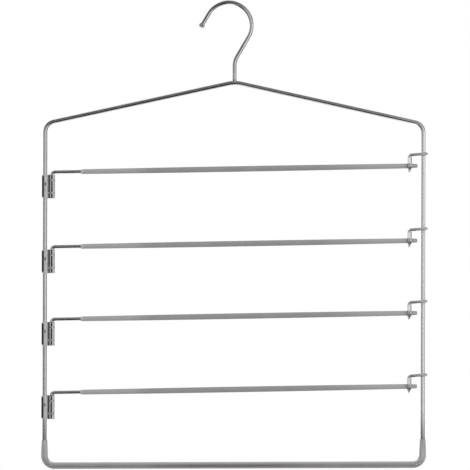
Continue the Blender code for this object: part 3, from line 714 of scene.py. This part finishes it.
# latches: a welded run, a pressed stem that is turned a little, a wedge and a pointed foot
latch = {"wire": 0.0014, "y": -0.0028, "overhang": 0.00397, "rise": 0.0103, "slope": 4.5, "bend": 0.0016,
         "endRings": [(0.50, 0.0003), (0.78, 0.0006), (0.94, 0.0006), (1.0, 0.0004)], "endStart": 0.25,
         "pinch": 0.0012, "pinched": 0.82, "bendStep": 10, "bentSteps": 4, "bentWide": 1.08,
         "bentThick": 0.95, "press": 0.0012, "pressSteps": 4, "wide": 1.62, "thick": 0.85,
         "pressed": 0.00105, "flat": 0.00048, "flatRings": 7, "stemRings": 12, "twist": 13.0,
         "wedgeDrop": 0.0012, "wedgeSlope": 30.0, "wedgeBend": 0.0020, "wedgeSteps": 6,
         "toeDrop": 0.0053, "toeBend": 0.0010, "toeWide": 0.58,
         "footReach": 0.00286, "footShare": 0.55, "endRound": 0.0004, "endShare": 0.6,
         "stemFrom": (0.0015, 0.0025), "sleeveAt": (-0.0030, -0.0022), "underSoft": 0.0010,
         "edgeShade": 0.50, "edgeAt": (0.0004, 0.0010), "crossShade": 0.64, "crossShadeRight": -0.16,
         "footShade": 0.24, "footRight": 0.50, "middleAt": (-0.0005, 0.0006),
         "middleLine": 0.30, "middleLineHalf": 0.0005}
# the bead that welds a latch to the upright, with rings in millimetres
latchBead = {"y": -0.0007, "squash": 0.80, "points": 28,
             "rings": [(1.5, 0.0), (2.20, 0.25), (2.38, 0.9), (2.40, 1.6), (2.32, 2.2), (2.12, 2.7),
                       (1.75, 3.1), (1.2, 3.38), (0.6, 3.48)]}


# the rounded end, the pinch over the upright and the run to the bend, whose last steps are pressed
def latchRun(c, total, bendEnd):
    shares = [c["endStart"]] + [share for share, length in c["endRings"]]
    ends = [("run", length, (now / before,) * 3)
            for before, now, (share, length) in zip(shares, shares[1:], c["endRings"])]
    endLength = sum(length for share, length in c["endRings"])
    overhang = c["overhang"] / cos(radians(c["slope"]))
    halfPinch = 1.5 * c["pinch"]
    bent = c["bentSteps"] * c["bendStep"]
    return ends + [("run", overhang - endLength - halfPinch),
                   ("run", c["pinch"], (1, c["pinched"], 1)), ("run", c["pinch"]),
                   ("run", c["pinch"], (1, 1 / c["pinched"], 1)),
                   ("run", total - overhang - halfPinch - bendEnd),
                   ("bend", -(90 - c["slope"] - bent), c["bend"], yAxis),
                   ("bend", -bent, c["bend"], yAxis, (c["bentWide"], c["bentThick"], 1))]


# the stem is widened and pressed, turned a little, and pressed flatter as it goes down
def latchStem(c, bendEnd, wedgeEnd):
    wide = (c["wide"] / c["bentWide"] ** c["bentSteps"]) ** (1 / c["pressSteps"])
    thick = (c["thick"] / c["bentThick"] ** c["bentSteps"]) ** (1 / c["pressSteps"])
    moves = []
    for step in range(1, c["pressSteps"] + 1):
        moves.append(("run", c["press"] / c["pressSteps"], (wide, thick, 1)))
        moves.append(("flatten", c["wire"] + (c["pressed"] - c["wire"]) * step / c["pressSteps"], 0))
    moves.append(("twist", c["twist"]))
    stem = c["rise"] - bendEnd - c["press"] + c["wedgeDrop"] - wedgeEnd
    for step in range(1, c["stemRings"] + 1):
        moves.append(("run", stem / c["stemRings"]))
        half = c["pressed"] + (c["flat"] - c["pressed"]) * min(1.0, step / c["flatRings"])
        moves.append(("flatten", half, c["twist"]))
    return moves


# the wedge leans back under the arm, and the foot narrows to its tip
def latchFoot(c, wedgeEnd):
    wedgeSlope = radians(c["wedgeSlope"])
    toeTurn = 90 - c["wedgeSlope"]
    toeEnd = c["toeBend"] * tan(radians(toeTurn / 2))
    wedge = (c["toeDrop"] - c["wedgeDrop"]) / cos(wedgeSlope) - wedgeEnd - toeEnd
    toeY = c["y"] + (c["toeDrop"] - c["wedgeDrop"]) * tan(wedgeSlope)
    foot = armPlaces[0].y + c["footReach"] - toeY - toeEnd - c["endRound"] / 2
    steps = c["wedgeSteps"]
    widths = [c["wide"] + (c["toeWide"] - c["wide"]) * index / steps for index in range(steps + 1)]
    tip = c["footShare"] ** 0.5
    moves = [("bend", c["wedgeSlope"], c["wedgeBend"], xAxis)]
    moves += [("run", wedge / steps, (after / before, 1, 1)) for before, after in zip(widths, widths[1:])]
    moves.append(("bend", toeTurn, c["toeBend"], xAxis))
    moves += [("run", foot / 2, (tip, 1, tip))] * 2
    moves.append(("run", c["endRound"] / 2, (c["endShare"], 1, c["endShare"])))
    return moves


def makeLatches(c, bead):
    tilt = radians(c["slope"])
    way = Vector((-cos(tilt), 0, -sin(tilt)))
    corner = Vector((stemX, c["y"], stemZ + c["rise"]))
    total = (rightX + c["overhang"] - stemX) / cos(tilt)
    bendEnd = c["bend"] * tan(radians(90 - c["slope"]) / 2)
    wedgeEnd = c["wedgeBend"] * tan(radians(c["wedgeSlope"]) / 2)
    moves = latchRun(c, total, bendEnd) + latchStem(c, bendEnd, wedgeEnd) + latchFoot(c, wedgeEnd)
    start = corner - way * total
    first = drawWire("latch1", start, way, c["wire"] * c["endStart"], moves, step=c["bendStep"])
    paintStemShade(first, c)
    crossing = Vector((rightX, bead["y"], corner.z + (rightX - stemX) * tan(tilt)))
    firstWeld = drawTurned("latchWeld1", crossing, -yAxis, bead["rings"], bead["points"])
    bpy.ops.object.mode_set(mode="EDIT")
    bpy.ops.mesh.select_all(action="SELECT")
    bpy.ops.transform.resize(value=(1, 1, bead["squash"]), center_override=crossing)
    bpy.ops.object.mode_set(mode="OBJECT")
    pairs = [(first, firstWeld)]
    for number in range(2, len(armPlaces) + 1):
        pairs.append((copyToArm(first, "latch", number), copyToArm(firstWeld, "latchWeld", number)))
    for number, (piece, weld) in enumerate(pairs, 1):
        finishPiece(piece, latchChrome, "hanger", "latch_chrome", f"latch_hook_{number}")
        finishPiece(weld, weldMetal, "hanger", "latch_chrome")


# the stem is satin; painted shade greys its right side, and painted shadow darkens it where it crosses the
# sleeve and below it, with a darker line down its middle over the sleeve
def paintStemShade(piece, c):
    shade = piece.data.attributes.new("shade", "FLOAT", "POINT")
    pressed = piece.data.attributes.new("pressed", "FLOAT", "POINT")
    for index, vertex in enumerate(piece.data.vertices):
        across, up = vertex.co.x - stemX, vertex.co.z - stemZ
        onStem = ramp(c["rise"] - up, *c["stemFrom"])
        over = ramp(-up, *c["sleeveAt"])
        under = ramp(-up, c["wedgeDrop"], c["wedgeDrop"] + c["underSoft"])
        # painted shade down the right side, painted shadow over the sleeve and below it
        middle = ramp(across, *c["middleAt"])
        tone = c["edgeShade"] * ramp(across, *c["edgeAt"])
        tone += (c["crossShade"] + c["crossShadeRight"] * middle - tone) * over
        tone += c["middleLine"] * ramp(c["middleLineHalf"] - abs(across), 0, c["middleLineHalf"]) * over
        tone += (c["footShade"] + c["footRight"] * middle - tone) * under
        shade.data[index].value = tone * onStem
        pressed.data[index].value = onStem * (1 - over)


makeLatches(latch, latchBead)
print("latches are drawn")

# hinge clips: one sheet rolled round the upright and the leg, with a pinched front and a punch mark
clip = {"sheet": 0.0008, "height": 0.0226, "drop": 0.0025, "fold": 0.0006, "seam": 0.0009, "front": 0.00246,
        "seamSteps": 8, "foldSteps": 5, "uprightSteps": 56, "legSteps": 36,
        "knuckle": 0.0048, "slot": 0.0008, "cornerRound": 0.0018, "rim": 0.0001,
        "edgeRound": 0.00012, "edgeSteps": 2, "edgeAngle": 50, "smooth": 38,
        "punchTop": 0.0084, "punchLength": 0.0048, "punchDepth": 0.00045, "punchWidth": 0.0006,
        "punchAcross": 0.0005, "punchRows": 10, "punchStart": 0.1, "punchRise": 3, "punchFade": 0.6,
        "dotTone": 1.8, "dotWide": 1.1, "dotTaper": 0.5,
        "leftShade": (-0.0040, -0.00055), "rolledSoft": 0.0008, "rolledFrom": 0.0006, "rolledReach": 0.0016,
        "greyShade": (0.0027, 0.0034), "greyTone": 0.30, "valleyShade": (0.0031, 0.0048), "valleyGap": 0.6,
        "seamShade": 0.0008, "seamTone": 0.95, "seamGap": 0.8, "slotShade": 0.0006,
        "shadeEdge": 0.0003, "shadeEnd": 0.0016, "shadeNear": 0.0007}
lowKnuckle = clip["height"] - clip["knuckle"]
uprightBarrel = hanger["wire"] + hanger["gap"] + clip["sheet"] / 2
legBarrel = arm["wire"] + hanger["gap"] + clip["sheet"] / 2
foldOffset = (clip["sheet"] + hanger["gap"]) / 2 + clip["fold"]
legAcross = armPlaces[0].x - leftX
clipTurn = atan2(armPlaces[0].y, legAcross)
legSpacing = hypot(legAcross, armPlaces[0].y)


# the sheet starts as one edge at the seam, and is spun and extruded round the upright and back
def rollSheet(c):
    uprightFold = sqrt((uprightBarrel + c["fold"]) ** 2 - foldOffset ** 2)
    legFold = sqrt((legBarrel + c["fold"]) ** 2 - foldOffset ** 2)
    uprightAngle = atan2(foldOffset, uprightFold)
    legAngle = atan2(foldOffset, legFold)
    seam = -pi / 2 - clipTurn
    halfSeam = c["seam"] / (2 * legBarrel)
    legAt = Vector((legSpacing, 0, 0))
    start = legAt + Vector((cos(seam - halfSeam), sin(seam - halfSeam), 0)) * legBarrel

    pickNone()
    bpy.ops.mesh.primitive_plane_add(size=1, location=(0, 0, 0))
    piece = bpy.context.object
    piece.name = "hingeClip1"
    bpy.ops.object.mode_set(mode="EDIT")
    bpy.ops.mesh.select_all(action="SELECT")
    bpy.ops.mesh.merge(type="CENTER")
    bpy.ops.transform.translate(value=start)
    bpy.ops.mesh.extrude_region_move(TRANSFORM_OT_translate={"value": (0, 0, -c["height"])})
    bpy.ops.mesh.select_all(action="SELECT")

    def spin(centre, turned, steps):
        bpy.ops.mesh.spin(steps=steps, angle=-turned, center=centre, axis=(0, 0, 1))

    leaf = Vector((legSpacing - legFold - uprightFold, 0, 0))
    spin(legAt, legAngle - pi - (seam - halfSeam), c["seamSteps"])
    spin(Vector((legSpacing - legFold, -foldOffset, 0)), pi / 2 - legAngle, c["foldSteps"])
    bpy.ops.mesh.extrude_region_move(TRANSFORM_OT_translate={"value": -leaf})
    spin(Vector((uprightFold, -foldOffset, 0)), pi / 2 - uprightAngle, c["foldSteps"])
    spin(Vector((0, 0, 0)), 2 * uprightAngle - 2 * pi, c["uprightSteps"])
    spin(Vector((uprightFold, foldOffset, 0)), pi / 2 - uprightAngle, c["foldSteps"])
    bpy.ops.mesh.extrude_region_move(TRANSFORM_OT_translate={"value": leaf})
    spin(Vector((legSpacing - legFold, foldOffset, 0)), pi / 2 - legAngle, c["foldSteps"])
    spin(legAt, seam + halfSeam - (pi - legAngle), c["legSteps"])
    bpy.ops.mesh.select_all(action="SELECT")
    bpy.ops.mesh.remove_doubles(threshold=mergeDistance)
    return piece


# rows of points at the slots, the corners and the punch mark, and where a shade ends
def addRows(c):
    levels = [c["knuckle"], c["knuckle"] + c["slot"], lowKnuckle, lowKnuckle - c["slot"],
              c["cornerRound"], c["height"] - c["cornerRound"]]
    rows = c["punchRows"]
    levels += [c["punchTop"] + c["punchLength"] * index / rows for index in range(rows + 1)]
    for slotTop in (c["knuckle"], lowKnuckle - c["slot"]):
        levels += [slotTop - c["shadeNear"], slotTop + c["slot"] + c["shadeNear"]]
    for level in levels:
        bpy.ops.mesh.select_all(action="SELECT")
        bpy.ops.mesh.bisect(plane_co=(0, 0, -level), plane_no=(0, 0, 1))


# two level slots part the front of the leg's barrel, and the clip is turned to where the leg stands
def cutSlots(piece, c):
    bpy.ops.mesh.select_all(action="DESELECT")
    bpy.ops.mesh.select_mode(type="FACE")
    bpy.ops.object.mode_set(mode="OBJECT")
    middles = [c["knuckle"] + c["slot"] / 2, lowKnuckle - c["slot"] / 2]
    for face in piece.data.polygons:
        level = min(abs(-face.center.z - middle) for middle in middles) < c["slot"] / 2
        face.select = level and face.center.y < 0 and face.center.x > legSpacing - legBarrel
    bpy.ops.object.mode_set(mode="EDIT")
    bpy.ops.mesh.delete(type="FACE")
    bpy.ops.mesh.select_mode(type="VERT")
    bpy.ops.mesh.select_all(action="SELECT")
    bpy.ops.transform.rotate(value=-clipTurn, orient_axis="Z", center_override=(0, 0, 0))
    bpy.ops.object.mode_set(mode="OBJECT")


# round the outer corners, press the front flat and sink the punch mark into it
def shapeClip(piece, c):
    for vertex in piece.data.vertices:
        spot = vertex.co
        inward = min(c["cornerRound"], max(0.0, c["cornerRound"] - spot.x - uprightBarrel))
        drop = c["cornerRound"] - sqrt(c["cornerRound"] ** 2 - inward ** 2)
        if spot.z > -c["rim"]:
            spot.z -= drop
        elif spot.z < -c["height"] + c["rim"]:
            spot.z += drop
        if spot.y < 0 and spot.x < uprightBarrel:
            spot.y = max(spot.y, -c["front"])
        share = (-spot.z - c["punchTop"]) / c["punchLength"]
        off = spot.x - c["punchAcross"]
        if spot.y < 0 and 0 < share < 1 and abs(off) < c["punchWidth"]:
            across = cos(off / c["punchWidth"] * pi / 2) ** 2
            rise = sin(pi * min(1, share * c["punchRise"] + c["punchStart"]) / 2)
            spot.y += c["punchDepth"] * across * rise * (1 - share) ** c["punchFade"]


def thickenSheet(piece, c):
    solid = piece.modifiers.new("thickness", "SOLIDIFY")
    solid.thickness = c["sheet"]
    solid.offset = 0
    solid.use_even_offset = True
    edge = piece.modifiers.new("edges", "BEVEL")
    edge.width = c["edgeRound"]
    edge.segments = c["edgeSteps"]
    edge.limit_method = "ANGLE"
    edge.angle_limit = radians(c["edgeAngle"])
    for name in ("thickness", "edges"):
        bpy.ops.object.modifier_apply(modifier=name)
    bpy.ops.object.mode_set(mode="EDIT")
    bpy.ops.mesh.select_all(action="SELECT")
    bpy.ops.mesh.normals_make_consistent(inside=False)
    bpy.ops.object.mode_set(mode="OBJECT")
    bpy.ops.object.shade_smooth_by_angle(angle=radians(c["smooth"]))


# the attribute "shade" is painted shade: on the rolled side, in the valley and the seam,
# and in the punch mark
def shadeClip(piece, c):
    def band(value, low, high, soft=c["shadeEdge"]):
        return clamp((value - low) / soft + 0.5) * clamp((high - value) / soft + 0.5)

    def nearSlot(down, middle):
        return band(down, middle - c["slotShade"], middle + c["slotShade"])

    shade = piece.data.attributes.new("shade", "FLOAT", "POINT")
    for index, vertex in enumerate(piece.data.vertices):
        x, y, down = vertex.co.x, vertex.co.y, -vertex.co.z
        share = (down - c["punchTop"]) / c["punchLength"]
        dot = 0.0
        if 0 < share < 1:
            wide = c["punchWidth"] * (c["dotWide"] - c["dotTaper"] * share)
            dot = band(abs(x - c["punchAcross"]), -1, wide) * min(1.0, c["dotTone"] * (1 - share) ** 2)
        lower = nearSlot(down, lowKnuckle - c["slot"] / 2)
        either = max(lower, nearSlot(down, c["knuckle"] + c["slot"] / 2))
        ends = band(down, c["shadeEnd"] / 2, c["height"] - c["shadeEnd"] / 2, c["shadeEnd"])
        side = clamp((c["rolledFrom"] - y) / c["rolledReach"])
        rolled = band(x, *c["leftShade"], c["rolledSoft"]) * ends * side
        valley = band(x, *c["valleyShade"]) * (1 - c["valleyGap"] * lower)
        seam = band(abs(x - legAcross), -1, c["seamShade"]) * (1 - c["seamGap"] * either)
        grey = c["greyTone"] * band(x, *c["greyShade"])
        depth = max(grey, valley, c["seamTone"] * seam, dot) if y < 0 else 0.0
        shade.data[index].value = max(depth, rolled)


def makeClips(c):
    first = rollSheet(c)
    addRows(c)
    cutSlots(first, c)
    shapeClip(first, c)
    thickenSheet(first, c)
    shadeClip(first, c)
    first.data.transform(Matrix.Translation((leftX, 0, armPlaces[0].z - c["drop"])))
    copies = [copyToArm(first, "hingeClip", number) for number in range(2, len(armPlaces) + 1)]
    for number, piece in enumerate([first] + copies, 1):
        finishPiece(piece, sheetPaint, "hanger", "clip_plate", f"hinge_clip_{number}")


makeClips(clip)
print("clips are folded")
